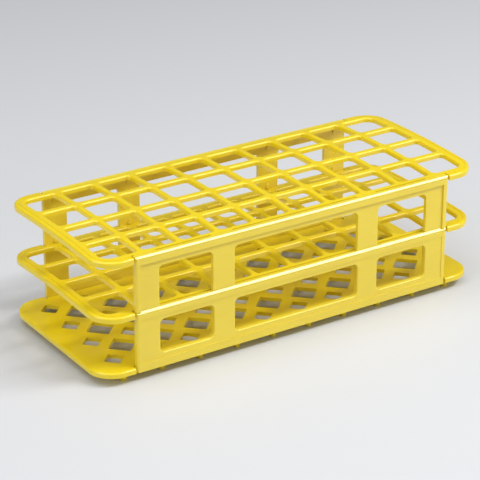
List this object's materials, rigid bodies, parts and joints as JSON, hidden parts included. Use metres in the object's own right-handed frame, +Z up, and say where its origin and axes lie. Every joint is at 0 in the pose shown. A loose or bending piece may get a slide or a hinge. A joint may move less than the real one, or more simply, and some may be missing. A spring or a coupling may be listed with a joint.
{
  "type": "test tube rack",
  "caption": "Open plastic test tube rack: two square-celled grid shelves and a drain plate on feet, clipped between two windowed side panels.",
  "frame": {"origin": "middle of the rack's plan, on the plane that its feet stand on", "axes": "+X along the rack's length, +Y towards the back panel, +Z up"},
  "size_m": [0.246, 0.104, 0.0738],
  "materials": {
    "rack_plastic": "satin moulded polypropylene"
  },
  "bodies": {
    "shelves": {"top_shelf": "rack_plastic", "middle_shelf": "rack_plastic", "bottom_shelf": "rack_plastic"},
    "front_side": {"front_panel": "rack_plastic"},
    "back_side": {"back_panel": "rack_plastic"}
  },
  "joints": [
    {"name": "front_panel_pull", "type": "slide", "parent": "shelves", "child": "front_side", "axis": [0, -1, 0], "range_m": [0, 0.015]},
    {"name": "back_panel_pull", "type": "slide", "parent": "shelves", "child": "back_side", "axis": [0, 1, 0], "range_m": [0, 0.015]}
  ]
}
